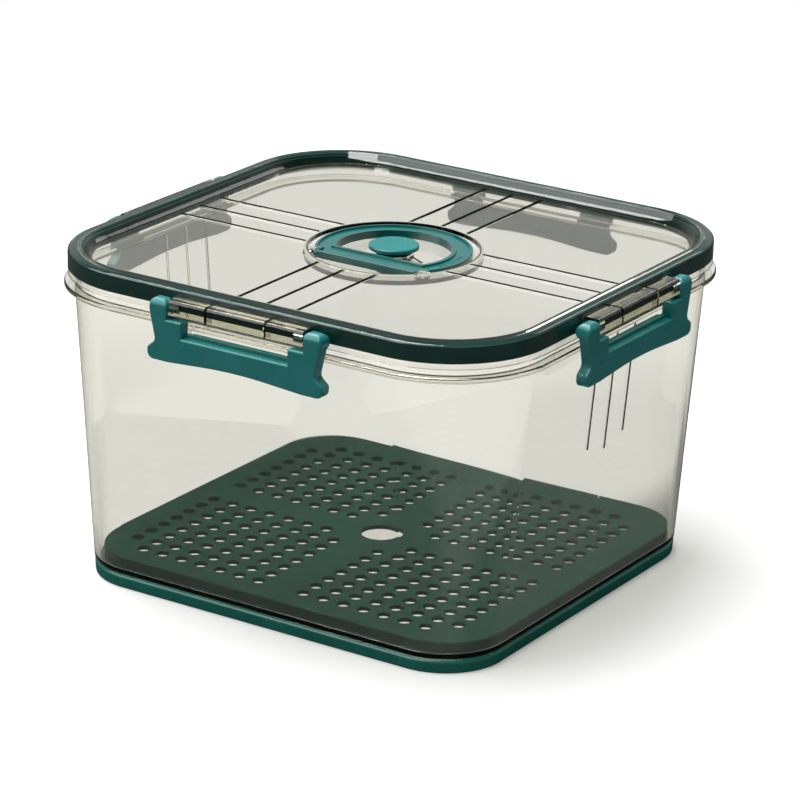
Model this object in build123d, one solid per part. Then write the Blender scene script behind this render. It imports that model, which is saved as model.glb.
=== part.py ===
from build123d import *
import math
import os

# Airtight food container: clear tapered bin on a foot ring, drain tray inside,
# clear lid with a pressed-in seal, four side latches, a folding handle ring and a
# vent knob in the middle of the lid. Millimetres, Z up, origin on the ground under
# the middle of the container; the front latch faces -Y.

# Outline of the lid, and how far joined shapes and cutters run into each other
lid_width = 250.0
lid_depth = 241.0
lid_corner = 51.0
overlap = 1.0

# Lid
lid_gap = 3.4
panel_sink = 4.8
panel_thickness = 2.2
skirt_thickness = 1.6
rim_thickness = 2.4
rim_fall = 1.1
rim_crest_past_channel = 0.8
rim_crest_width = 1.0
rim_slope_run = 3.8
rim_edge_round = 1.5
rim_crest_round = 0.6
rim_foot_round = 4.5
plug_wall = 1.8
plug_drop = 2.8

# Seal in the lid's channel
seal_lip = 1.1
seal_roof = 3.4
seal_lift = 2.3
seal_clearance = 0.1
seal_groove_clearance = 0.4

# Bin
bin_wall_height = 135.8
bin_floor_thickness = 2.4
bin_wall = 2.2
bin_taper_run = 10.8
bin_floor_corner = 31.4
neck_height = 10.0
lip_overhang = 1.7
lip_thickness = 2.6
lip_edge_round = 0.8
floor_edge_round = 2.0
bin_inner_round = 0.9
wall_groove_width = 1.6
wall_groove_depth = 0.7
wall_groove_middle_length = 60.4
wall_groove_side_length = 56.4

# Foot ring under the bin
foot_height = 6.6
foot_draft = 0.5
foot_inner_wall = 2.8
foot_edge_round = 1.0
foot_top_round = 1.8
rib_inset = 4.9
rib_width = 2.2
rib_height = 3.0
rib_clearance = 0.1

# Drain tray
tray_clearance = 0.3
tray_end_gap = 1.9
tray_height = 4.7
tray_plate = 1.9
tray_skirt = 2.0
tray_edge_round = 0.8
drain_hole = 6.4
drain_margin = 17.8
drain_first_x = 12.6
drain_first_y = 11.3
drain_count = 8
finger_hole = 19.0
pattern_shift_x = -1.5
pattern_shift_y = -2.9

# Lines in the lid's panel and in the side walls
line_pitch = 16.0
line_width = 2.0
line_depth = 1.1
line_gap = 3.5

# Well in the lid
well_radius = 40.4
well_wall = 1.8
well_depth = 4.6
well_floor_thickness = 1.8
boss_wall = 3.2
boss_height = 2.2
gusset_length = 6.5
gusset_thickness = 1.4
gusset_count = 3

# Vent knob, its washer and its clip
knob_radius = 11.9
knob_thickness = 1.9
knob_edge_round = 0.7
stem_radius = 6.0
stem_clearance = 0.3
stem_tail = 1.2
vent_travel = 3.5
vent_stop_gap = 0.3
washer_step = 1.0
washer_thickness = 2.4
clip_reach = 2.6
clip_thickness = 2.0
clip_groove_depth = 0.8
clip_fit = 0.05

# Folding handle ring
handle_well_gap = 3.3
handle_knob_gap = 1.3
handle_band = 9.5
handle_bar = 12.0
handle_thickness = 3.8
handle_floor_gap = 0.7
handle_lip_outer = 1.3
handle_lip_inner = 1.8
handle_channel_depth = 0.9
handle_edge_round = 0.4
handle_pivot_inset = 1.2
handle_pin_radius = 1.2
handle_pin_length = 2.4
handle_pin_fit = 0.05
handle_side_shave = 0.1
handle_notch_reach = 4.2
handle_front_round = 1.0
lug_gap = 0.4
lug_half_width = 2.8
tick_count = 7
tick_spacing = 5.0
tick_width = 0.7
tick_depth = 0.4
tick_length = 2.4

# Hinge bars on the lid
hinge_drop = 7.8
bar_half_height = 4.2
bar_front = 2.8
bar_half_length = 36.4
bar_round = 2.0
bar_slot = 1.4
bar_slot_at = 16.0
pin_radius = 2.0
pin_fit = 0.05
pin_length = 5.5
pin_end_gap = 0.4

# Latches
latch_end_gap = 0.5
latch_behind_hinge = 1.8
latch_thickness = 5.6
latch_edge_round = 1.0
latch_back_round = 1.5
ear_width = 9.5
ear_round = 4.2
ear_swing_gap = 0.8
ear_inner_corner = 3.6
waist_draw = 3.2
waist_rise = 5.4
waist_round = 3.0
toe_flare = 4.4
toe_drop = 14.6
toe_side = 5.6
toe_round = 3.4
toe_upper_round = 1.8
arch_rise = 2.6
arch_inset = 11.6
arch_round = 250.0
step_width = 8.2
step_drop = 5.2
step_round = 0.8
window_drop = 2.2
inner_wall = 2.0
hook_clearance = 0.4
hook_end_inset = 2.7
hook_height = 3.2
hook_drop = 0.6
hook_lip = 1.2

# Heights, from the ground up
bin_floor_underside = foot_height
bin_floor_top = bin_floor_underside + bin_floor_thickness
tray_top = bin_floor_top + tray_height
lip_bottom = bin_floor_underside + bin_wall_height
lip_top = lip_bottom + lip_thickness
neck_top = lip_top + neck_height
lid_bottom = lip_top + lid_gap
seal_bottom = lid_bottom + seal_lift
channel_roof = neck_top + seal_roof
rim_top = channel_roof + rim_thickness
rim_edge = rim_top - rim_fall
panel_top = rim_top - panel_sink
panel_underside = panel_top - panel_thickness
plug_bottom = panel_underside - plug_drop

# Half sizes of the lid and insets from its outline
half_x = lid_width / 2
half_y = lid_depth / 2
neck_inset = skirt_thickness + seal_clearance + seal_lip + seal_groove_clearance
neck_half_x = half_x - neck_inset
neck_half_y = half_y - neck_inset
neck_corner = lid_corner - neck_inset
seal_inner = neck_inset + bin_wall + seal_groove_clearance + seal_lip
channel_inner = seal_inner + seal_clearance
rim_crest_inset = channel_inner - rim_crest_past_channel
rim_foot_inset = rim_crest_inset + rim_slope_run
foot_width = rib_inset + rib_width + rib_clearance + foot_inner_wall

# Well, vent and handle ring
well_floor_top = panel_top - well_depth
well_underside = well_floor_top - well_floor_thickness
boss_radius = stem_radius + stem_clearance + boss_wall
boss_top = well_floor_top + boss_height
washer_radius = boss_radius - washer_step
knob_bottom = boss_top + washer_thickness
knob_top = knob_bottom + knob_thickness
clip_radius = stem_radius + clip_reach
clip_top = well_underside - vent_travel - vent_stop_gap
clip_bottom = clip_top - clip_thickness
stem_end = clip_bottom - stem_tail
handle_radius = well_radius - handle_well_gap
handle_inner_radius = handle_radius - handle_band
handle_inner_front = knob_radius + handle_knob_gap
handle_front = handle_inner_front + handle_bar
handle_bottom = well_floor_top + handle_floor_gap
handle_top = handle_bottom + handle_thickness
pivot_y = -(handle_front - handle_pivot_inset)
pivot_z = handle_bottom + handle_thickness / 2
handle_side_cut = math.sqrt(handle_radius ** 2 - pivot_y ** 2) - handle_side_shave

# Hinge bars and latches, each measured outward from the lid's skirt
hinge_height = rim_top - hinge_drop
hinge_out = ear_round + ear_swing_gap
bar_out = hinge_out + bar_front
latch_back = hinge_out - latch_behind_hinge
latch_front = latch_back + latch_thickness
knuckle_radius = latch_front - hinge_out
knuckle_back = hinge_out - knuckle_radius
ear_inner = bar_half_length + latch_end_gap
ear_half_width = ear_inner + ear_width
ear_top = hinge_height + ear_round
waist_half_width = ear_half_width - waist_draw
toe_half_width = waist_half_width + toe_flare
toe_bottom = lip_bottom - toe_drop
toe_top = toe_bottom + toe_side
waist_height = toe_top + waist_rise - toe_upper_round
arch_half_width = toe_half_width - arch_inset
step_half_width = ear_inner - step_width
step_height = hinge_height - step_drop
window_floor = lip_bottom - window_drop
hook_tip = lip_overhang + hook_clearance
hook_half_length = step_half_width - hook_end_inset
hook_top = lip_bottom - hook_drop


def block(x0, x1, y0, y1, z0, z1):
    """A box between two corners."""
    box = Box(x1 - x0, y1 - y0, z1 - z0)
    return Pos((x0 + x1) / 2, (y0 + y1) / 2, (z0 + z1) / 2) * box


def disc(radius, z0, z1):
    """An upright cylinder on the middle axis, between two heights."""
    return Pos(0, 0, (z0 + z1) / 2) * Cylinder(radius, z1 - z0)


def rounded(hx, hy, corner, z):
    """A rounded rectangle lying at height z."""
    return Pos(0, 0, z) * RectangleRounded(2 * hx, 2 * hy, corner)


def lid_slab(inset, z0, z1):
    """The lid's outline drawn in by an inset, as a plate between two heights."""
    outline = rounded(half_x - inset, half_y - inset, lid_corner - inset, z0)
    return extrude(outline, amount=z1 - z0)


def lid_funnel(inset0, z0, inset1, z1):
    """The lid's outline, drawn in differently at its two heights."""
    low = rounded(half_x - inset0, half_y - inset0, lid_corner - inset0, z0)
    high = rounded(half_x - inset1, half_y - inset1, lid_corner - inset1, z1)
    return loft([low.face(), high.face()], ruled=True)


def wall_at(z):
    """Half width, half depth and corner of the bin's outer wall at a height."""
    share = (z - bin_floor_underside) / bin_wall_height
    hx = neck_half_x - (1 - share) * bin_taper_run
    hy = neck_half_y - (1 - share) * bin_taper_run
    corner = bin_floor_corner + share * (neck_corner - bin_floor_corner)
    return hx, hy, corner


def bin_taper(inset, z0, z1):
    """The bin's tapered body, drawn in by an inset, between two heights."""
    sections = []
    for z in (z0, z1):
        hx, hy, corner = wall_at(z)
        sections.append(rounded(hx - inset, hy - inset, corner - inset, z).face())
    return loft(sections, ruled=True)


def outer_loop(shape, z):
    """The outermost loop of edges of a shape's flat face at one height."""
    faces = shape.faces().filter_by_position(Axis.Z, z - 0.01, z + 0.01)
    return faces.sort_by(SortBy.AREA)[-1].outer_wire().edges()


def edges_level(shape, z):
    """All edges of a shape that lie level at one height."""
    return shape.edges().filter_by_position(Axis.Z, z - 0.01, z + 0.01)


def on_side(shape, side):
    """Puts a piece made for a side at y = 0, facing -Y, onto one side of the lid."""
    if side == "front":
        return Pos(0, -half_y, 0) * shape
    if side == "back":
        return Pos(0, half_y, 0) * Rot(0, 0, 180) * shape
    if side == "right":
        return Pos(half_x, 0, 0) * Rot(0, 0, 90) * shape
    return Pos(-half_x, 0, 0) * Rot(0, 0, -90) * shape


SIDES = ("front", "back", "left", "right")


def make_bin():
    """Clear tapered bin with its lip, the upright neck for the seal and three lines a side."""
    body = bin_taper(0.0, bin_floor_underside, lip_bottom)
    body = fillet(outer_loop(body, bin_floor_underside), floor_edge_round)
    neck = lid_slab(neck_inset, lip_bottom, neck_top)
    lip = lid_slab(-lip_overhang, lip_bottom, lip_top)
    lip = fillet(outer_loop(lip, lip_bottom) + outer_loop(lip, lip_top), lip_edge_round)
    body = body + lip + neck
    hollow = bin_taper(bin_wall, bin_floor_top, lip_bottom)
    hollow = fillet(outer_loop(hollow, bin_floor_top), bin_inner_round)
    mouth = lid_slab(neck_inset + bin_wall, lip_bottom, neck_top)
    body = body - hollow - mouth
    hx, hy, corner = wall_at(bin_floor_underside)
    rib_outer = rounded(hx - rib_inset, hy - rib_inset, corner - rib_inset, bin_floor_underside)
    inner = rib_inset + rib_width
    rib_inner = rounded(hx - inner, hy - inner, corner - inner, bin_floor_underside)
    body = body + extrude(rib_outer - rib_inner, amount=-rib_height)
    top = lip_bottom - lip_edge_round
    for column in (-1, 0, 1):
        length = wall_groove_middle_length if column == 0 else wall_groove_side_length
        for way in (-1, 1):
            body = body - wall_line(way, column * line_pitch, lip_bottom - length, top)
    return body


def wall_line(way, y, z0, z1):
    """The cutter for one upright line in a tapered side wall."""
    low = wall_at(z0)[0]
    high = wall_at(z1)[0]
    profile = Polyline(
        (way * (low - wall_groove_depth), z0),
        (way * (low + overlap), z0),
        (way * (high + overlap), z1),
        (way * (high - wall_groove_depth), z1),
        close=True,
    )
    face = make_face(Plane.XZ.offset(-y - wall_groove_width / 2) * profile)
    return extrude(face, amount=wall_groove_width)


def make_foot_ring():
    """Foot ring the bin stands on, with a groove for the bin's locating rib."""
    hx, hy, corner = wall_at(bin_floor_underside)
    low = rounded(hx - foot_draft, hy - foot_draft, corner - foot_draft, 0.0)
    high = rounded(hx, hy, corner, foot_height)
    ring = loft([low.face(), high.face()], ruled=True)
    ring = fillet(outer_loop(ring, 0.0), foot_edge_round)
    ring = fillet(outer_loop(ring, foot_height), foot_top_round)
    opening = rounded(hx - foot_width, hy - foot_width, corner - foot_width, 0.0)
    ring = ring - extrude(opening, amount=foot_height)
    out = rib_inset - rib_clearance
    inn = rib_inset + rib_width + rib_clearance
    groove = rounded(hx - out, hy - out, corner - out, foot_height)
    groove = groove - rounded(hx - inn, hy - inn, corner - inn, foot_height)
    return ring - extrude(groove, amount=-(rib_height + rib_clearance))


def tray_outline(inset, z):
    """The tray's outline inside the round at the foot of the bin's wall, looser in Y."""
    hx, hy, corner = wall_at(bin_floor_top)
    inset = inset + bin_wall + bin_inner_round + tray_clearance
    return rounded(hx - inset, hy - inset - tray_end_gap, corner - inset, z)


def drain_places():
    """Middles of the drain holes: four square fields, each without its two end corners."""
    hx, hy, _ = wall_at(bin_floor_top)
    edge = bin_wall + bin_inner_round + tray_clearance + drain_margin
    last = drain_count - 1
    pitch_x = (hx - edge - drain_first_x) / last
    pitch_y = (hy - edge - tray_end_gap - drain_first_y) / last
    places = []
    for column in range(drain_count):
        for row in range(drain_count):
            if (column, row) in ((0, 0), (last, last)):
                continue
            x = drain_first_x + column * pitch_x
            y = drain_first_y + row * pitch_y
            places += [(x, y), (-x, y), (-x, -y), (x, -y)]
    return [(x + pattern_shift_x, y + pattern_shift_y) for x, y in places]


def make_tray():
    """Perforated drain tray on its own skirt, with a round finger hole in the middle."""
    tray = extrude(tray_outline(0.0, bin_floor_top), amount=tray_height)
    tray = fillet(outer_loop(tray, tray_top), tray_edge_round)
    under = extrude(tray_outline(tray_skirt, bin_floor_top), amount=tray_height - tray_plate)
    tray = tray - under
    finger = disc(finger_hole / 2, bin_floor_top, tray_top)
    tray = tray - Pos(pattern_shift_x, pattern_shift_y, 0) * finger
    holes = [Pos(x, y, tray_top) * Circle(drain_hole / 2) for x, y in drain_places()]
    return tray - extrude(Sketch() + holes, amount=-tray_plate)


def make_lid():
    """Clear lid: rim with the seal's channel, sunk panel with lines, well and hinge bars."""
    lid = lid_slab(0.0, lid_bottom, rim_edge)
    lid = lid + lid_funnel(0.0, rim_edge, rim_crest_inset - rim_crest_width, rim_top)
    lid = fillet(edges_level(lid, rim_edge), rim_edge_round)
    fall = rim_slope_run / panel_sink
    crest = rim_crest_inset - fall * overlap
    lid = lid - lid_funnel(rim_foot_inset, panel_top, crest, rim_top + overlap)
    rim_face = lid.faces().filter_by_position(Axis.Z, rim_top - 0.01, rim_top + 0.01)
    lid = fillet(rim_face[0].inner_wires().edges(), rim_crest_round)
    panel = lid.faces().filter_by_position(Axis.Z, panel_top - 0.01, panel_top + 0.01)
    lid = fillet(panel[0].outer_wire().edges(), rim_foot_round)
    channel = lid_slab(skirt_thickness, lid_bottom, channel_roof)
    channel = channel - lid_slab(channel_inner, lid_bottom, channel_roof)
    lid = lid - channel - lid_slab(channel_inner, lid_bottom, plug_bottom)
    lid = lid - lid_slab(channel_inner + plug_wall, plug_bottom, panel_underside)
    lid = lid + disc(well_radius + well_wall, well_underside, panel_top)
    lid = lid - disc(well_radius, well_floor_top, panel_top)
    lid = lid - panel_lines()
    lid = lid + well_fittings()
    lid = lid - disc(stem_radius + stem_clearance, well_underside, boss_top)
    for side in SIDES:
        lid = lid + on_side(make_hinge_bar(), side)
    return lid


def panel_lines():
    """Three lines each way across the panel, from the well to the rim."""
    keep_off = disc(well_radius + well_wall, panel_top - line_depth, panel_top)
    reach_x = half_x - rim_foot_inset - line_gap
    reach_y = half_y - rim_foot_inset - line_gap
    lines = []
    for place in (-line_pitch, 0.0, line_pitch):
        low, high = place - line_width / 2, place + line_width / 2
        lines.append(block(-reach_x, reach_x, low, high, panel_top - line_depth, panel_top))
        lines.append(block(low, high, -reach_y, reach_y, panel_top - line_depth, panel_top))
    cutter = lines[0]
    for line in lines[1:]:
        cutter = cutter + line
    return cutter - keep_off


def well_fittings():
    """The vent's boss with its gussets, and the two lugs that carry the handle ring."""
    fittings = disc(boss_radius, well_floor_top, boss_top)
    for turn in range(gusset_count):
        profile = Polyline(
            (0.0, well_floor_top),
            (boss_radius + gusset_length, well_floor_top),
            (boss_radius, boss_top),
            (0.0, boss_top),
            close=True,
        )
        face = make_face(Plane.XZ.offset(-gusset_thickness / 2) * profile)
        gusset = extrude(face, amount=gusset_thickness)
        fittings = fittings + Rot(0, 0, turn * 360 / gusset_count) * gusset
    well_edge = math.sqrt(well_radius ** 2 - pivot_y ** 2) + well_wall / 2
    inner = handle_side_cut + lug_gap
    bore_end = handle_side_cut + handle_pin_length + lug_gap
    for way in (-1, 1):
        x0, x1 = sorted((way * inner, way * well_edge))
        y0, y1 = pivot_y - lug_half_width, pivot_y + lug_half_width
        lug = block(x0, x1, y0, y1, well_floor_top, handle_top)
        x0, x1 = sorted((way * inner, way * bore_end))
        bore = Rot(0, 90, 0) * Cylinder(handle_pin_radius + handle_pin_fit, x1 - x0)
        fittings = fittings + (lug - Pos((x0 + x1) / 2, pivot_y, pivot_z) * bore)
    return fittings


def make_hinge_bar():
    """Clear hinge bar in three lengths on the skirt, bored at both ends for a latch's pins."""
    low = hinge_height - bar_half_height
    high = hinge_height + bar_half_height
    bar = block(-bar_half_length, bar_half_length, -bar_out, 0.0, low, high)
    front = bar.faces().sort_by(Axis.Y)[0]
    bar = fillet(front.edges().filter_by(Axis.X), bar_round)
    for way in (-1, 1):
        x0 = way * bar_slot_at
        bar = bar - block(x0 - bar_slot / 2, x0 + bar_slot / 2, -bar_out, 0.0, low, high)
        depth = pin_length - latch_end_gap + pin_end_gap
        bore = Rot(0, 90, 0) * Cylinder(pin_radius + pin_fit, depth)
        bar = bar - Pos(way * (bar_half_length - depth / 2), -hinge_out, hinge_height) * bore
    return bar


def make_seal():
    """Soft seal in the lid's channel, with a groove that the bin's neck runs up into."""
    outer = skirt_thickness + seal_clearance
    seal = lid_slab(outer, seal_bottom, channel_roof) - lid_slab(seal_inner, seal_bottom, channel_roof)
    near = neck_inset - seal_groove_clearance
    far = neck_inset + bin_wall + seal_groove_clearance
    groove = lid_slab(near, seal_bottom, neck_top) - lid_slab(far, seal_bottom, neck_top)
    return seal - groove


def rounded_at(face, x, y, radius):
    """Rounds the corners of a flat face that lie at plus and minus x."""
    corners = [v for v in face.vertices() if abs(abs(v.X) - x) < 0.01 and abs(v.Y - y) < 0.01]
    return fillet(corners, radius)


def make_latch():
    """Side latch with two pins, its ears round knuckles at the hinge, and a hook for the lip."""
    arch_top = toe_bottom + arch_rise
    right = [
        (0.0, window_floor),
        (step_half_width, window_floor),
        (step_half_width, step_height),
        (ear_inner, step_height),
        (ear_inner, ear_top),
        (ear_half_width, ear_top),
        (ear_half_width, hinge_height - pin_radius),
        (waist_half_width, waist_height),
        (toe_half_width, toe_top),
        (toe_half_width, toe_bottom),
        (arch_half_width, toe_bottom),
        (0.0, arch_top),
    ]
    left = [(-x, y) for x, y in reversed(right) if x > 0.0]
    front = make_face(Polyline(*right, *left, close=True))
    front = rounded_at(front, toe_half_width, toe_bottom, toe_round)
    front = rounded_at(front, toe_half_width, toe_top, toe_upper_round)
    front = rounded_at(front, waist_half_width, waist_height, waist_round)
    front = rounded_at(front, ear_half_width, ear_top, ear_round)
    front = rounded_at(front, ear_inner, ear_top, ear_inner_corner)
    front = rounded_at(front, step_half_width, step_height, step_round)
    front = rounded_at(front, 0.0, arch_top, arch_round)
    plate = extrude(Pos(0, 0, knuckle_back) * front, amount=latch_front - knuckle_back)
    plate = fillet(outer_loop(plate, latch_front), latch_edge_round)
    side = latch_side()
    for way in (-1, 1):
        knuckle = Rot(0, 90, 0) * Cylinder(knuckle_radius, ear_width)
        side = side + Pos(way * (ear_inner + ear_width / 2), -hinge_out, hinge_height) * knuckle
    latch = (Rot(90, 0, 0) * plate) & side
    y0, y1 = -latch_back - inner_wall, -latch_back
    latch = latch + block(-step_half_width, step_half_width, y0, y1, window_floor - overlap, hook_top)
    latch = latch + make_hook()
    for way in (-1, 1):
        pin = Rot(0, 90, 0) * Cylinder(pin_radius, pin_length + overlap)
        middle = way * (ear_inner - (pin_length - overlap) / 2)
        latch = latch + Pos(middle, -hinge_out, hinge_height) * pin
    return latch


LATCH_SIDE = Plane(origin=(0, 0, 0), x_dir=(0, -1, 0), z_dir=(-1, 0, 0))


def latch_side():
    """Side view of a latch, run along it: flat faces with a top rounded about the hinge."""
    low = toe_bottom - overlap
    outline = Polyline(
        (latch_back, low),
        (latch_front, low),
        (latch_front, ear_top),
        (latch_back, ear_top),
        close=True,
    )
    side = make_face(outline)
    side = rounded_at(side, latch_back, ear_top, latch_back_round)
    side = rounded_at(side, latch_front, ear_top, latch_front - hinge_out)
    return extrude(LATCH_SIDE * side, amount=toe_half_width + overlap, both=True)


def make_hook():
    """The ridge on the inside of a latch that catches below the bin's lip."""
    outline = Polyline(
        (latch_back + inner_wall / 2, hook_top),
        (hook_tip, hook_top),
        (hook_tip, hook_top - hook_lip),
        (latch_back, hook_top - hook_height),
        (latch_back + inner_wall / 2, hook_top - hook_height),
        close=True,
    )
    return extrude(LATCH_SIDE * make_face(outline), amount=hook_half_length, both=True)


def handle_region(radius, front):
    """A disc cut off straight toward the front."""
    region = Circle(radius)
    cut = Rectangle(2 * radius, radius)
    return region - Pos(0, -front - radius / 2) * cut


def handle_outline(inset):
    """The handle ring's D shape, drawn in by an inset, with its front corners cut square."""
    outline = handle_region(handle_radius - inset, handle_front - inset)
    notch_y = pivot_y + handle_notch_reach
    for way in (-1, 1):
        x = way * (handle_side_cut - inset + handle_radius / 2)
        side = Pos(x, notch_y + inset - handle_radius / 2) * Rectangle(handle_radius, handle_radius)
        outline = outline - side
    return outline


def make_handle():
    """D-shaped handle ring with a channel in its top, a short scale and two pins."""
    window = handle_region(handle_inner_radius, handle_inner_front)
    island = handle_region(handle_inner_radius + handle_lip_inner, handle_inner_front + handle_lip_inner)
    ring = extrude(Pos(0, 0, handle_bottom) * handle_outline(0.0), amount=handle_thickness)
    ring = fillet(outer_loop(ring, handle_top), handle_edge_round)
    front_low = edges_level(ring, handle_bottom).filter_by(Axis.X).sort_by(Axis.Y)[0]
    ring = fillet(front_low, handle_front_round)
    ring = ring - extrude(Pos(0, 0, handle_bottom) * window, amount=handle_thickness)
    floor = handle_top - handle_channel_depth
    channel = handle_outline(handle_lip_outer) - island
    ring = ring - extrude(Pos(0, 0, floor) * channel, amount=handle_channel_depth)
    middle = (handle_inner_radius + handle_lip_inner + handle_radius - handle_lip_outer) / 2
    for tick in range(tick_count):
        angle = (tick - (tick_count - 1) / 2) * tick_spacing
        mark = Pos(middle, 0, floor - tick_depth / 2) * Box(tick_length, tick_width, tick_depth)
        ring = ring - Rot(0, 0, angle) * mark
    for way in (-1, 1):
        pin = Rot(0, 90, 0) * Cylinder(handle_pin_radius, 2 * handle_pin_length)
        ring = ring + Pos(way * handle_side_cut, pivot_y, pivot_z) * pin
    return ring


def make_vent_knob():
    """Round knob with a stem through the lid and a groove for its clip."""
    cap = disc(knob_radius, knob_bottom, knob_top)
    cap = fillet(outer_loop(cap, knob_top), knob_edge_round)
    stem = disc(stem_radius, stem_end, knob_bottom)
    core = disc(stem_radius - clip_groove_depth, clip_bottom, clip_top)
    groove = disc(stem_radius, clip_bottom, clip_top) - core
    return cap + stem - groove


def make_vent_washer():
    """Soft washer that the knob presses onto the vent's boss."""
    return disc(washer_radius, boss_top, knob_bottom) - disc(stem_radius + clip_fit, boss_top, knob_bottom)


def make_vent_clip():
    """Snap ring in the stem's groove that stops the knob under the lid."""
    bore = stem_radius - clip_groove_depth + clip_fit
    return disc(clip_radius, clip_bottom, clip_top) - disc(bore, clip_bottom, clip_top)


pieces = {
    "bin_body": make_bin(),
    "foot_ring": make_foot_ring(),
    "drain_tray": make_tray(),
    "lid_shell": make_lid(),
    "lid_seal": make_seal(),
    "handle_ring": make_handle(),
    "vent_knob": make_vent_knob(),
    "vent_washer": make_vent_washer(),
    "vent_clip": make_vent_clip(),
}
for side in SIDES:
    pieces["latch_" + side] = on_side(make_latch(), side)

os.makedirs("parts", exist_ok=True)
for name, piece in pieces.items():
    export_step(piece, "parts/" + name + ".step")
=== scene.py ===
import math

import bmesh
import bpy
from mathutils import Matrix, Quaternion, Vector


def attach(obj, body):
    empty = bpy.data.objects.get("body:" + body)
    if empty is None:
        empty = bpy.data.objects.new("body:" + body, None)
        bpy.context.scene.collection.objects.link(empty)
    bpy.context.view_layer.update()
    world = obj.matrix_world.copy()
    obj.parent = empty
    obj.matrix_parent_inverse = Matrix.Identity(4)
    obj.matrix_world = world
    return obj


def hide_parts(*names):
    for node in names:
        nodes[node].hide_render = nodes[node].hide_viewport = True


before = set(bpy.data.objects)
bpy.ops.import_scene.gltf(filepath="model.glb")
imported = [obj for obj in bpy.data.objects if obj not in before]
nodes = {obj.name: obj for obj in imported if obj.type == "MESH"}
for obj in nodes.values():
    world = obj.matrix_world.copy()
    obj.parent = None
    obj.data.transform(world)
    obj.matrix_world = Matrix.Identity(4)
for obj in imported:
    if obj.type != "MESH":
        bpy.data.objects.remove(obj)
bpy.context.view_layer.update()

# Foot ring: the ring the container stands on. It is polypropylene in a dark green,
# injection moulded, and pushed onto a rib under the bin. Its outer edges are rounded.
MM = 0.001
CLOUDS_MM, RUBS_MM = 22.0, 7.0
PATCH_LOW, PATCH_HIGH = 0.3, 0.7


def srgb(code):
    """Linear colour, with alpha 1, of an sRGB hex value."""
    parts = [int(code[i : i + 2], 16) / 255 for i in (1, 3, 5)]
    linear = [c / 12.92 if c <= 0.04045 else ((c + 0.055) / 1.055) ** 2.4 for c in parts]
    return (*linear, 1.0)


def add_node(tree, kind, settings=None, links=None, values=None):
    """Adds a node with its own settings, its socket values and its incoming links."""
    node = tree.nodes.new(kind)
    for name, value in (settings or {}).items():
        setattr(node, name, value)
    for name, value in (values or {}).items():
        node.inputs[name].default_value = value
    for name, source in (links or {}).items():
        tree.links.new(source, node.inputs[name])
    return node


def new_material(name):
    """An empty node material and its tree."""
    material = bpy.data.materials.new(name)
    material.use_nodes = True
    material.node_tree.nodes.clear()
    return material, material.node_tree


def uneven(tree, place, size_mm, detail, low, high):
    """A value that drifts between low and high in patches of about that many millimetres."""
    patches = add_node(
        tree,
        "ShaderNodeTexNoise",
        links={"Vector": place.outputs["Object"]},
        values={"Scale": 1.0 / (size_mm * MM), "Detail": detail},
    )
    drift = add_node(
        tree,
        "ShaderNodeMapRange",
        links={"Value": patches.outputs["Fac"]},
        values={"From Min": PATCH_LOW, "From Max": PATCH_HIGH, "To Min": low, "To Max": high},
    )
    return drift.outputs[0]


def relief(tree, place, size_mm, detail, depth_mm):
    """Shallow bumps of about that many millimetres across, as a surface direction."""
    lumps = add_node(
        tree,
        "ShaderNodeTexNoise",
        links={"Vector": place.outputs["Object"]},
        values={"Scale": 1.0 / (size_mm * MM), "Detail": detail},
    )
    bump = add_node(
        tree,
        "ShaderNodeBump",
        links={"Height": lumps.outputs["Fac"]},
        values={"Strength": 1.0, "Distance": depth_mm * MM},
    )
    return bump.outputs[0]


def moulded_plastic(name, colour, clouds_colour, gloss, grain_mm, grain_depth_mm, ior, shine):
    """Solid coloured moulded plastic: faint flow clouds in its colour and its gloss, and
    the fine grain that the spark-eroded steel of the mould leaves on it."""
    material, tree = new_material(name)
    place = add_node(tree, "ShaderNodeTexCoord")
    tone = add_node(
        tree,
        "ShaderNodeMix",
        {"data_type": "RGBA"},
        {0: uneven(tree, place, CLOUDS_MM, 3.0, 0.0, 1.0)},
        {6: srgb(colour), 7: srgb(clouds_colour)},
    )
    body = add_node(
        tree,
        "ShaderNodeBsdfPrincipled",
        links={
            "Base Color": tone.outputs[2],
            "Roughness": uneven(tree, place, RUBS_MM, 4.0, *gloss),
            "Normal": relief(tree, place, grain_mm, 2.0, grain_depth_mm),
        },
        values={"IOR": ior, "Specular IOR Level": shine},
    )
    add_node(tree, "ShaderNodeOutputMaterial", links={"Surface": body.outputs[0]})
    return material


def dress(material, *names):
    """Gives frame nodes their material."""
    for name in names:
        nodes[name].data.materials.clear()
        nodes[name].data.materials.append(material)


# Polypropylene, polished mould: an even dark green with a soft, slightly uneven shine.
ring_plastic = moulded_plastic(
    "moulded_polypropylene_green",
    colour="#17695E",
    clouds_colour="#135E54",
    gloss=(0.20, 0.28),
    grain_mm=0.9,
    grain_depth_mm=0.004,
    ior=1.49,
    shine=0.5,
)
dress(ring_plastic, "foot_ring")

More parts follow.
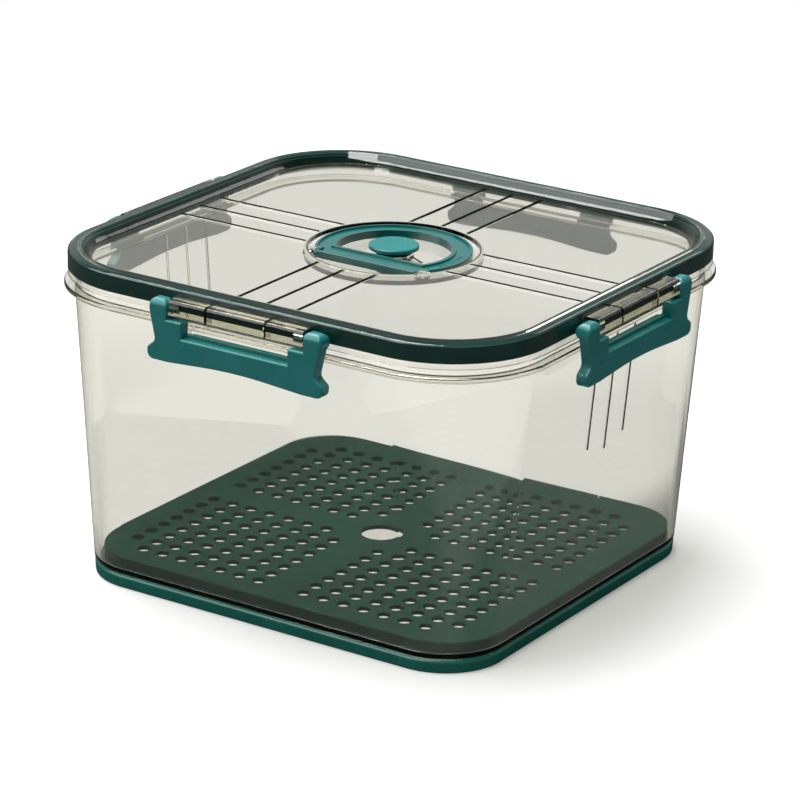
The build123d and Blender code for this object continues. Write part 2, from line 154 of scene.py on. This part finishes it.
# Bin: one clear moulding of styrene plastic with a warm smoke tint. It has tapered walls,
# a lip all round, an upright neck for the seal, and three sunk lines on each side wall.
WALL = 2.2
RIM_HALF_X, RIM_HALF_Y, RIM_CORNER = 125.0, 120.5, 51.0
NECK_INSET = 3.2
UNDERSIDE, FLOOR_TOP = 6.6, 9.0
LIP_BOTTOM, LIP_TOP, NECK_TOP = 142.4, 145.0, 155.0
LIP_OUT = 1.7
LIP_ROUND = 0.8
TAPER_RUN = 10.8
FOOT_CORNER = 31.4
FOOT_ROUND = 2.0
INNER_ROUND = 0.9
RIB_INSET, RIB_WIDTH, RIB_HEIGHT = 4.9, 2.2, 3.0
CORNER_STEPS, SIDE_STEPS = 32, 4
ROUND_STEPS = 5
WALL_LEAN = math.atan2(TAPER_RUN, LIP_BOTTOM - UNDERSIDE)
LINE_PITCH, LINE_WIDTH, LINE_DEPTH = 16.0, 1.6, 0.7
LINE_DRAFT = 0.08
LINE_LENGTHS = (56.4, 60.4, 56.4)
FACES_SIDEWAYS = 0.99


def rim_outline(inset, z):
    """Half width, half depth, corner and height of the lid's outline, drawn in."""
    return RIM_HALF_X - inset, RIM_HALF_Y - inset, RIM_CORNER - inset, z


def wall_outline(inset, z):
    """The same for the bin's tapered wall at a height, drawn in by an inset."""
    share = (z - UNDERSIDE) / (LIP_BOTTOM - UNDERSIDE)
    inward = NECK_INSET + (1.0 - share) * TAPER_RUN + inset
    corner = FOOT_CORNER + share * (RIM_CORNER - NECK_INSET - FOOT_CORNER)
    return RIM_HALF_X - inward, RIM_HALF_Y - inward, corner - inset, z


def shape_loop(points, steps, half_x, half_y, corner, z):
    """Puts a loop's points round a rounded rectangle, each by its own step number."""
    quarter = CORNER_STEPS + SIDE_STEPS
    reach_x, reach_y = half_x - corner, half_y - corner
    middles = [(reach_x, reach_y), (-reach_x, reach_y), (-reach_x, -reach_y), (reach_x, -reach_y)]
    for point in points:
        side, step = divmod(point[steps], quarter)
        angle = (side + min(step / CORNER_STEPS, 1.0)) * math.pi / 2
        along = max(step - CORNER_STEPS, 0) / SIDE_STEPS
        start, end = middles[side], middles[(side + 1) % 4]
        x = start[0] + along * (end[0] - start[0]) + corner * math.cos(angle)
        y = start[1] + along * (end[1] - start[1]) + corner * math.sin(angle)
        point.co = Vector((x, y, z)) * MM


def loft(mesh, outlines):
    """Draws a loop from outline to outline, and returns the first and the last loop's
    edges and the faces of each step."""
    count = 4 * (CORNER_STEPS + SIDE_STEPS)
    steps = mesh.verts.layers.int.new("step")
    points = bmesh.ops.create_circle(mesh, segments=count, radius=1.0)["verts"]
    for point in points:
        point[steps] = round(math.atan2(point.co.y, point.co.x) / math.tau * count) % count
    shape_loop(points, steps, *outlines[0])
    first = edges = list({edge for point in points for edge in point.link_edges})
    bands = []
    for outline in outlines[1:]:
        made = bmesh.ops.extrude_edge_only(mesh, edges=edges)["geom"]
        edges = [part for part in made if isinstance(part, bmesh.types.BMEdge)]
        points = [part for part in made if isinstance(part, bmesh.types.BMVert)]
        bands.append([part for part in made if isinstance(part, bmesh.types.BMFace)])
        ends = set(points)
        edges = [edge for edge in edges if ends.issuperset(edge.verts)]
        shape_loop(points, steps, *outline)
    return first, edges, bands


def finish_piece(mesh, name, body, node, material, sharp=38.0):
    """Makes a piece of a mesh: normals outward, smooth with sharp creases, riding on its
    body and standing for its frame node."""
    bmesh.ops.recalc_face_normals(mesh, faces=mesh.faces)
    data = bpy.data.meshes.new(name)
    mesh.to_mesh(data)
    mesh.free()
    data.shade_smooth()
    data.set_sharp_from_angle(angle=math.radians(sharp))
    piece = bpy.data.objects.new(name, data)
    bpy.context.collection.objects.link(piece)
    data.materials.append(material)
    even = piece.modifiers.new("even_shading", "WEIGHTED_NORMAL")
    even.keep_sharp = True
    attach(piece, body)
    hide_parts(node)
    return piece


def arc(radius, start, end, steps):
    """Steps along an arc: how far out and how far up each point lies from its middle."""
    for step in range(steps + 1):
        angle = start + (end - start) * step / steps
        yield radius * math.cos(angle), radius * math.sin(angle)


# Styrene acrylonitrile, polished mould: hard, clear and brilliant, with a warm grey smoke
# that shows at the thickness of a wall and turns dark where one looks along the plastic.
SMOKE_COLOUR = "#DFDBBC"
SMOKE_PER_METRE = 100.0
PASSED_LIGHT = "#DFE0DF"
HANDLED_MM, HANDLED_ROUGH = 34.0, 0.03
FLOW_MM, FLOW_DEPTH_MM = 26.0, 0.02


def clear_plastic(name, tint=None):
    """Clear smoked plastic. Lamps and diffuse light reach what is behind it straight
    through its surface. A tint is a function that gives the surface a colour where it
    isn't clear all over; the lid's tint is painted shade."""
    material, tree = new_material(name)
    place = add_node(tree, "ShaderNodeTexCoord")
    path = add_node(tree, "ShaderNodeLightPath")
    body = add_node(
        tree,
        "ShaderNodeBsdfPrincipled",
        links={
            "Roughness": uneven(tree, place, HANDLED_MM, 4.0, 0.0, HANDLED_ROUGH),
            "Normal": relief(tree, place, FLOW_MM, 1.0, FLOW_DEPTH_MM),
        },
        values={"Base Color": (1.0, 1.0, 1.0, 1.0), "Transmission Weight": 1.0, "IOR": 1.56},
    )
    if tint:
        tree.links.new(tint(tree, place), body.inputs["Base Color"])
    passed = add_node(tree, "ShaderNodeBsdfTransparent", values={"Color": srgb(PASSED_LIGHT)})
    for_lamps = add_node(
        tree,
        "ShaderNodeMixShader",
        links={0: path.outputs["Is Shadow Ray"], 1: body.outputs[0], 2: passed.outputs[0]},
    )
    for_bounces = add_node(
        tree,
        "ShaderNodeMixShader",
        links={0: path.outputs["Is Diffuse Ray"], 1: for_lamps.outputs[0], 2: passed.outputs[0]},
    )
    smoke = add_node(
        tree,
        "ShaderNodeVolumeAbsorption",
        values={"Color": srgb(SMOKE_COLOUR), "Density": SMOKE_PER_METRE},
    )
    add_node(
        tree,
        "ShaderNodeOutputMaterial",
        links={"Surface": for_bounces.outputs[0], "Volume": smoke.outputs[0]},
    )
    return material


smoked_clear = clear_plastic("moulded_styrene_smoked_clear")

mesh = bmesh.new()
slant = 1.0 / math.cos(WALL_LEAN)
outlines = [
    wall_outline(RIB_INSET + RIB_WIDTH, UNDERSIDE),
    wall_outline(RIB_INSET + RIB_WIDTH, UNDERSIDE - RIB_HEIGHT),
    wall_outline(RIB_INSET, UNDERSIDE - RIB_HEIGHT),
    wall_outline(RIB_INSET, UNDERSIDE),
]
middle = UNDERSIDE + FOOT_ROUND
for out, up in arc(FOOT_ROUND, -math.pi / 2, -WALL_LEAN, ROUND_STEPS):
    lean = up * math.tan(WALL_LEAN)
    outlines.append(wall_outline(FOOT_ROUND * slant - out + lean, middle + up))
wall_band = len(outlines) - 1
outlines.append(wall_outline(0.0, LIP_BOTTOM))
for middle, start in ((LIP_BOTTOM + LIP_ROUND, -math.pi / 2), (LIP_TOP - LIP_ROUND, 0.0)):
    for out, up in arc(LIP_ROUND, start, start + math.pi / 2, ROUND_STEPS):
        outlines.append(rim_outline(LIP_ROUND - LIP_OUT - out, middle + up))
outlines += [
    rim_outline(NECK_INSET, LIP_TOP),
    rim_outline(NECK_INSET, NECK_TOP),
    rim_outline(NECK_INSET + WALL, NECK_TOP),
    rim_outline(NECK_INSET + WALL, LIP_BOTTOM),
]
middle = FLOOR_TOP + INNER_ROUND
for out, up in arc(INNER_ROUND, -WALL_LEAN, -math.pi / 2, ROUND_STEPS):
    lean = up * math.tan(WALL_LEAN)
    outlines.append(wall_outline(WALL + INNER_ROUND * slant - out + lean, middle + up))
first, last, bands = loft(mesh, outlines)
bmesh.ops.contextual_create(mesh, geom=first)
bmesh.ops.contextual_create(mesh, geom=last)
bmesh.ops.recalc_face_normals(mesh, faces=mesh.faces)


def cut_across(faces, place, direction):
    """Cuts faces along a plane and returns all their pieces."""
    geom = faces + list({e for f in faces for e in f.edges})
    geom += list({v for f in faces for v in f.verts})
    cut = bmesh.ops.bisect_plane(mesh, geom=geom, plane_co=place, plane_no=direction)
    return [part for part in cut["geom"] if isinstance(part, bmesh.types.BMFace)]


side_walls = [face for face in bands[wall_band] if abs(face.normal.x) > FACES_SIDEWAYS]
for row, length in zip((-1, 0, 1), LINE_LENGTHS):
    low, high = LIP_BOTTOM - length, LIP_BOTTOM - LIP_ROUND
    left, right = row * LINE_PITCH - LINE_WIDTH / 2, row * LINE_PITCH + LINE_WIDTH / 2
    for y in (left, right):
        side_walls = cut_across(side_walls, (0, y * MM, 0), (0, 1, 0))
    strips = [f for f in side_walls if left < f.calc_center_median().y / MM < right]
    rest = [f for f in side_walls if f not in strips]
    for z in (low, high):
        strips = cut_across(strips, (0, 0, z * MM), (0, 0, 1))
    sunk = [f for f in strips if low < f.calc_center_median().z / MM < high]
    bmesh.ops.inset_region(
        mesh,
        faces=sunk,
        thickness=LINE_DRAFT * MM,
        depth=-LINE_DEPTH * MM,
        use_boundary=True,
        use_even_offset=True,
    )
    side_walls = rest
bin_shell = finish_piece(mesh, "bin_shell", "bin", "bin_body", smoked_clear)

# Drain tray: a loose plate on its own skirt that keeps food off the wet floor of the
# bin. It is polypropylene in the same green with a satin face, with rows of round holes.

# Polypropylene, satin mould: a dull dark green. Its shine too is below the real one, against
# the veil that the clear walls before it give.
tray_plastic = moulded_plastic(
    "moulded_polypropylene_satin_green",
    colour="#10392F",
    clouds_colour="#0E332A",
    gloss=(0.55, 0.65),
    grain_mm=0.7,
    grain_depth_mm=0.006,
    ior=1.49,
    shine=0.10,
)
dress(tray_plastic, "drain_tray")

# Seal: a soft silicone ring in dark green, pressed into the channel under the lid's rim,
# with a groove that closes over the bin's neck. Squeezed there, it wets the clear plastic,
# so no film of air shows between them but in one shallow flute in its roof.
SEAL_PRESS = 0.03
SKIRT = 1.6
SEAL_BOTTOM, CHANNEL_ROOF = 150.7, 158.4
CHANNEL_INNER = 7.0
GROOVE_NEAR, GROOVE_FAR = 2.8, 5.8
SEAL_ROUND = 0.35
FLUTE_NEAR, FLUTE_FAR, FLUTE_DEPTH = 4.3, 6.0, 0.3
SAME_POINT = 0.001

# Silicone rubber, moulded: a deep green with a soft, waxy look. Its shine is far below
# silicone's own: it was lowered to clear a pale veil that the clear plastic lays over it.
seal_rubber = moulded_plastic(
    "moulded_silicone_dark_green",
    colour="#123A36",
    clouds_colour="#10332F",
    gloss=(0.34, 0.46),
    grain_mm=1.1,
    grain_depth_mm=0.006,
    ior=1.41,
    shine=0.08,
)

mesh = bmesh.new()
outer = SKIRT - SEAL_PRESS
inner = CHANNEL_INNER + SEAL_PRESS
roof = CHANNEL_ROOF + SEAL_PRESS
outlines = [
    rim_outline(outer, roof),
    rim_outline(FLUTE_NEAR, roof),
    rim_outline(FLUTE_NEAR, roof - FLUTE_DEPTH),
    rim_outline(FLUTE_FAR, roof - FLUTE_DEPTH),
    rim_outline(FLUTE_FAR, roof),
    rim_outline(inner, roof),
    rim_outline(inner, SEAL_BOTTOM + SEAL_ROUND),
    rim_outline(inner - SEAL_ROUND, SEAL_BOTTOM),
    rim_outline(GROOVE_FAR + SEAL_ROUND, SEAL_BOTTOM),
    rim_outline(GROOVE_FAR, SEAL_BOTTOM + SEAL_ROUND),
    rim_outline(GROOVE_FAR, NECK_TOP),
    rim_outline(GROOVE_NEAR, NECK_TOP),
    rim_outline(GROOVE_NEAR, SEAL_BOTTOM + SEAL_ROUND),
    rim_outline(GROOVE_NEAR - SEAL_ROUND, SEAL_BOTTOM),
    rim_outline(outer + SEAL_ROUND, SEAL_BOTTOM),
    rim_outline(outer, SEAL_BOTTOM + SEAL_ROUND),
    rim_outline(outer, roof),
]
loft(mesh, outlines)
bmesh.ops.remove_doubles(mesh, verts=mesh.verts, dist=SAME_POINT * MM)
seal_ring = finish_piece(mesh, "seal_ring", "lid", "lid_seal", seal_rubber)

# Lid: the same clear smoked plastic in one moulding, with a raised rim over the seal's
# channel, a sunk panel, the well and the four hinge bars. The panel's three sunk lines each
# way and the edge of the well are painted dark as painted shade, and the thick bars get a deeper
# tint, partly their smoke and partly painted shade.
# Painted shade: the dark colour laid in the panel's sunk lines and round the well's edge.
GROOVE_PAINTED_SHADE = "#23251F"
LINE_BANDS = ((42.5, 113.2), (154.85, 155.9))
WELL_BANDS = ((40.2, 41.1), (154.6, 156.1))
# The thick bars' deeper tint is partly the smoke of their plastic and partly painted shade.
BAR_SMOKE_AND_SHADE = "#B9BBB6"
BAR_NEAR, BAR_FAR = 0.3, 10.0
BAR_BANDS = (
    (RIM_HALF_X + BAR_NEAR, RIM_HALF_X + BAR_FAR),
    (RIM_HALF_Y + BAR_NEAR, RIM_HALF_Y + BAR_FAR),
)


def in_bands(tree, operation, sources, bands):
    """Where two lengths lie in two bands of millimetres: both for MULTIPLY, and at least
    one for MAXIMUM."""
    within = [
        add_node(
            tree,
            "ShaderNodeMath",
            {"operation": "COMPARE"},
            {0: source},
            {1: (low + high) / 2 * MM, 2: (high - low) / 2 * MM},
        ).outputs[0]
        for source, (low, high) in zip(sources, bands)
    ]
    joined = add_node(tree, "ShaderNodeMath", {"operation": operation}, dict(enumerate(within)))
    return joined.outputs[0]


def lid_painted_shade(tree, place):
    """Painted shade: a dark colour in the panel's lines and round the edge of the well, and
    a deeper tint on the thick hinge bars, partly their own smoke and partly painted shade."""
    flat = add_node(
        tree,
        "ShaderNodeVectorMath",
        {"operation": "MULTIPLY"},
        {0: place.outputs["Object"]},
        {1: (1.0, 1.0, 0.0)},
    )
    reach = add_node(tree, "ShaderNodeVectorMath", {"operation": "LENGTH"}, {0: flat.outputs[0]})
    either_way = add_node(
        tree, "ShaderNodeVectorMath", {"operation": "ABSOLUTE"}, {0: place.outputs["Object"]}
    )
    parts = add_node(tree, "ShaderNodeSeparateXYZ", links={0: either_way.outputs[0]})
    ring_and_height = (reach.outputs["Value"], parts.outputs["Z"])
    tone = None
    for colour, share in (
        (BAR_SMOKE_AND_SHADE, in_bands(tree, "MAXIMUM", (parts.outputs["X"], parts.outputs["Y"]), BAR_BANDS)),
        (GROOVE_PAINTED_SHADE, in_bands(tree, "MULTIPLY", ring_and_height, LINE_BANDS)),
        (GROOVE_PAINTED_SHADE, in_bands(tree, "MULTIPLY", ring_and_height, WELL_BANDS)),
    ):
        mixed = add_node(
            tree,
            "ShaderNodeMix",
            {"data_type": "RGBA"},
            {0: share},
            {6: (1.0, 1.0, 1.0, 1.0), 7: srgb(colour)},
        )
        if tone:
            tree.links.new(tone, mixed.inputs[6])
        tone = mixed.outputs[2]
    return tone


smoked_lid = clear_plastic("moulded_styrene_smoked_painted_shade", lid_painted_shade)
dress(smoked_lid, "lid_shell")

# Latches and vent: the four latches hang by two pins each in the lid's hinge bars, and the
# knob's stem passes a soft washer and the lid and is held by a clip. All but the washer are
# moulded in one teal green plastic.

# Acetal, fine-grained mould: a dense teal with a soft satin shine.
latch_plastic = moulded_plastic(
    "moulded_acetal_satin_teal",
    colour="#147170",
    clouds_colour="#116967",
    gloss=(0.26, 0.36),
    grain_mm=0.8,
    grain_depth_mm=0.005,
    ior=1.48,
    shine=0.5,
)
dress(latch_plastic, "latch_front", "latch_back", "latch_left", "latch_right")
dress(latch_plastic, "vent_knob", "vent_clip")
dress(seal_rubber, "vent_washer")

# Handle ring: a folding D ring that lies in the well and turns on two pins at its front. It
# is moulded in the teal of the latches, in a smoother mould.

# Acetal, polished mould, with brighter glints. Its teal is set a shade deeper than the satin
# latches' as painted shade, against the light on its top.
# Painted shade: the latches' teal, darkened for the ring that lies face up.
handle_plastic_shaded = moulded_plastic(
    "moulded_acetal_polished_teal_shaded",
    colour="#095E5B",
    clouds_colour="#085653",
    gloss=(0.10, 0.16),
    grain_mm=0.8,
    grain_depth_mm=0.003,
    ior=1.48,
    shine=0.6,
)
dress(handle_plastic_shaded, "handle_ring")

# Studio: matt white sweep paper under the object, one wide soft lamp overhead that gives
# the light, and a strip and two panels that show only as reflections in the plastic. White
# surroundings fill the shadows.
FLOOR_REACH = 14.0
PAPER = (0.64, 0.64, 0.64, 1.0)
PAPER_LIFT = 0.23
PAPER_IN_GLOSS = (0.05, 0.05, 0.05, 1.0)
QUIET_BOUNCE = 0.4
# Painted shadow: two dim pools of glow on the paper, seen only through the clear plastic.
PAINTED_SHADOW_POOLS = (
    ((-0.07, -0.22), (0.27, 0.17)),
    ((0.17, 0.09), (0.13, 0.27)),
)
POOL_STRENGTH, POOL_EDGE = 0.36, 0.35
PAPER_NEAR, PAPER_FAR = 0.55, 1.1
LAMP_AIM = (0.0, 0.0, 0.08)


def sweep_paper():
    """White sweep paper. The camera sees it lifted to white where no shadow falls, and
    pure white far out. Behind clear plastic it is white, but for two dim pools that suit
    the photograph's view, where the walls mirror it. In reflections it is quiet."""
    material, tree = new_material("matt_white_sweep_paper")
    path = add_node(tree, "ShaderNodeLightPath")
    lift = add_node(
        tree,
        "ShaderNodeMath",
        {"operation": "MULTIPLY"},
        {0: path.outputs["Is Camera Ray"]},
        {1: PAPER_LIFT},
    )
    paper = add_node(tree, "ShaderNodeBsdfDiffuse", values={"Color": PAPER})
    glow = add_node(tree, "ShaderNodeEmission", links={"Strength": lift.outputs[0]})
    lit = add_node(tree, "ShaderNodeAddShader", links={0: paper.outputs[0], 1: glow.outputs[0]})
    quiet = add_node(tree, "ShaderNodeBsdfDiffuse", values={"Color": PAPER_IN_GLOSS})
    hush = add_node(
        tree,
        "ShaderNodeMath",
        {"operation": "MULTIPLY_ADD"},
        {0: path.outputs["Is Diffuse Ray"], 2: path.outputs["Is Glossy Ray"]},
        {1: QUIET_BOUNCE},
    )
    in_gloss = add_node(
        tree,
        "ShaderNodeMixShader",
        links={0: hush.outputs[0], 1: lit.outputs[0], 2: quiet.outputs[0]},
    )
    place = add_node(tree, "ShaderNodeTexCoord")
    seen = white = add_node(tree, "ShaderNodeEmission", values={"Strength": 1.0})
    away = add_node(
        tree, "ShaderNodeVectorMath", {"operation": "LENGTH"}, {0: place.outputs["Object"]}
    )
    beyond = add_node(
        tree,
        "ShaderNodeMapRange",
        {"interpolation_type": "SMOOTHSTEP"},
        {"Value": away.outputs["Value"]},
        {"From Min": PAPER_NEAR, "From Max": PAPER_FAR},
    )
    far_share = add_node(
        tree,
        "ShaderNodeMath",
        {"operation": "MULTIPLY"},
        {0: beyond.outputs[0], 1: path.outputs["Is Camera Ray"]},
    )
    shown = add_node(
        tree,
        "ShaderNodeMixShader",
        links={0: far_share.outputs[0], 1: in_gloss.outputs[0], 2: white.outputs[0]},
    )
    # Each pool lays painted shadow on the paper, as a dimmer glow.
    for middle, reach in PAINTED_SHADOW_POOLS:
        placed = add_node(
            tree,
            "ShaderNodeMapping",
            {"vector_type": "TEXTURE"},
            {"Vector": place.outputs["Object"]},
            {"Location": (*middle, 0.0), "Scale": (*reach, 1.0)},
        )
        pool = add_node(
            tree, "ShaderNodeTexGradient", {"gradient_type": "SPHERICAL"}, {0: placed.outputs[0]}
        )
        share = add_node(
            tree,
            "ShaderNodeMapRange",
            {"interpolation_type": "SMOOTHSTEP"},
            {"Value": pool.outputs["Fac"]},
            {"From Min": 0.0, "From Max": POOL_EDGE, "To Min": 0.0, "To Max": 1.0},
        )
        dim = add_node(tree, "ShaderNodeEmission", values={"Strength": POOL_STRENGTH})
        seen = add_node(
            tree,
            "ShaderNodeMixShader",
            links={0: share.outputs[0], 1: seen.outputs[0], 2: dim.outputs[0]},
        )
    behind = add_node(
        tree,
        "ShaderNodeMixShader",
        links={0: path.outputs["Is Transmission Ray"], 1: shown.outputs[0], 2: seen.outputs[0]},
    )
    add_node(tree, "ShaderNodeOutputMaterial", links={"Surface": behind.outputs[0]})
    return material


mesh = bmesh.new()
bmesh.ops.create_grid(mesh, x_segments=1, y_segments=1, size=FLOOR_REACH)
floor_mesh = bpy.data.meshes.new("floor")
mesh.to_mesh(floor_mesh)
mesh.free()
floor = bpy.data.objects.new("floor", floor_mesh)
bpy.context.collection.objects.link(floor)
floor.data.materials.append(sweep_paper())


def soft_lamp(name, place, width, depth, power):
    """A soft lamp that faces the middle of the container."""
    data = bpy.data.lights.new(name, "AREA")
    data.shape = "RECTANGLE"
    data.size = width
    data.size_y = depth
    data.energy = power
    lamp = bpy.data.objects.new(name, data)
    bpy.context.collection.objects.link(lamp)
    lamp.location = place
    aim = Vector(LAMP_AIM) - Vector(place)
    lamp.rotation_euler = aim.to_track_quat("-Z", "Y").to_euler()
    return lamp


overhead = soft_lamp(
    "overhead_softbox", place=(-0.33, -0.10, 1.8), width=1.6, depth=1.1, power=66.0
)
overhead.visible_glossy = False
strip = soft_lamp(
    "strip_reflector", place=(-0.42, -0.52, 1.75), width=1.8, depth=0.7, power=44.0
)
front_panel = soft_lamp(
    "front_reflector", place=(-0.97, -1.25, 1.13), width=2.2, depth=1.6, power=36.0
)
back_panel = soft_lamp(
    "back_reflector", place=(0.0, 1.34, 1.10), width=0.7, depth=0.4, power=2.0
)
for panel in (strip, front_panel, back_panel):
    panel.visible_diffuse = False

world = bpy.data.worlds.new("studio")
bpy.context.scene.world = world
world.use_nodes = True
tree = world.node_tree
tree.nodes.clear()
path = add_node(tree, "ShaderNodeLightPath")
where = add_node(tree, "ShaderNodeTexCoord")
height = add_node(tree, "ShaderNodeSeparateXYZ", links={0: where.outputs["Generated"]})

# Strengths by the height of the direction, from 0 level with the object to 1 straight up.
EVEN_FILL = ((0.0, 0.30),)
IN_GLOSS = ((0.0, 0.22), (0.25, 0.52), (0.36, 0.50), (0.7, 0.06))
THROUGH_PLASTIC = ((0.0, 1.0), (0.1, 1.0), (0.3, 0.36), (0.7, 0.06))
WHITE_BACKGROUND = ((0.0, 1.0),)


def surroundings(stops):
    """Surroundings whose strength follows the height of the direction, from stop to stop."""
    ramp = add_node(tree, "ShaderNodeValToRGB", links={0: height.outputs["Z"]})
    marks = ramp.color_ramp.elements
    marks.remove(marks[1])
    for number, (place, strength) in enumerate(stops):
        mark = marks.new(place) if number else marks[0]
        mark.position = place
        mark.color = (strength, strength, strength, 1.0)
    return add_node(tree, "ShaderNodeBackground", links={"Color": ramp.outputs[0]})


shown = surroundings(EVEN_FILL)
for ray, stops in (
    ("Is Glossy Ray", IN_GLOSS),
    ("Is Transmission Ray", THROUGH_PLASTIC),
    ("Is Camera Ray", WHITE_BACKGROUND),
):
    shown = add_node(
        tree,
        "ShaderNodeMixShader",
        links={0: path.outputs[ray], 1: shown.outputs[0], 2: surroundings(stops).outputs[0]},
    )
add_node(tree, "ShaderNodeOutputWorld", links={"Surface": shown.outputs[0]})

# Camera: where the photograph was taken from, with a long lens and a slight roll.
CAMERA_TARGET = Vector((0.003645, 0.002586, 0.080170))
CAMERA_DISTANCE = 1.792857
CAMERA_AZIMUTH = math.radians(32.68)
CAMERA_ELEVATION = math.radians(19.91)
CAMERA_ROLL = math.radians(1.311)
LENS = 170.06
SENSOR = 36.0

back = Vector(
    (
        math.sin(CAMERA_AZIMUTH) * math.cos(CAMERA_ELEVATION),
        -math.cos(CAMERA_AZIMUTH) * math.cos(CAMERA_ELEVATION),
        math.sin(CAMERA_ELEVATION),
    )
)
camera_data = bpy.data.cameras.new("photo_camera")
camera_data.lens = LENS
camera_data.sensor_width = SENSOR
camera_data.clip_end = 100.0
camera = bpy.data.objects.new("photo_camera", camera_data)
bpy.context.collection.objects.link(camera)
camera.location = CAMERA_TARGET + back * CAMERA_DISTANCE
turn = (-back).to_track_quat("-Z", "Y") @ Quaternion((0.0, 0.0, 1.0), CAMERA_ROLL)
camera.rotation_euler = turn.to_euler()
bpy.context.scene.camera = camera
bpy.context.scene.view_settings.view_transform = "Standard"

# Light passes many clear walls here, so paths may be long, and the light that the clear
# plastic would focus is left out because it only adds grain.
LONG_PATH = 24
cycles = bpy.context.scene.cycles
cycles.max_bounces = LONG_PATH
cycles.transmission_bounces = LONG_PATH
cycles.transparent_max_bounces = LONG_PATH
cycles.caustics_refractive = False
cycles.caustics_reflective = False
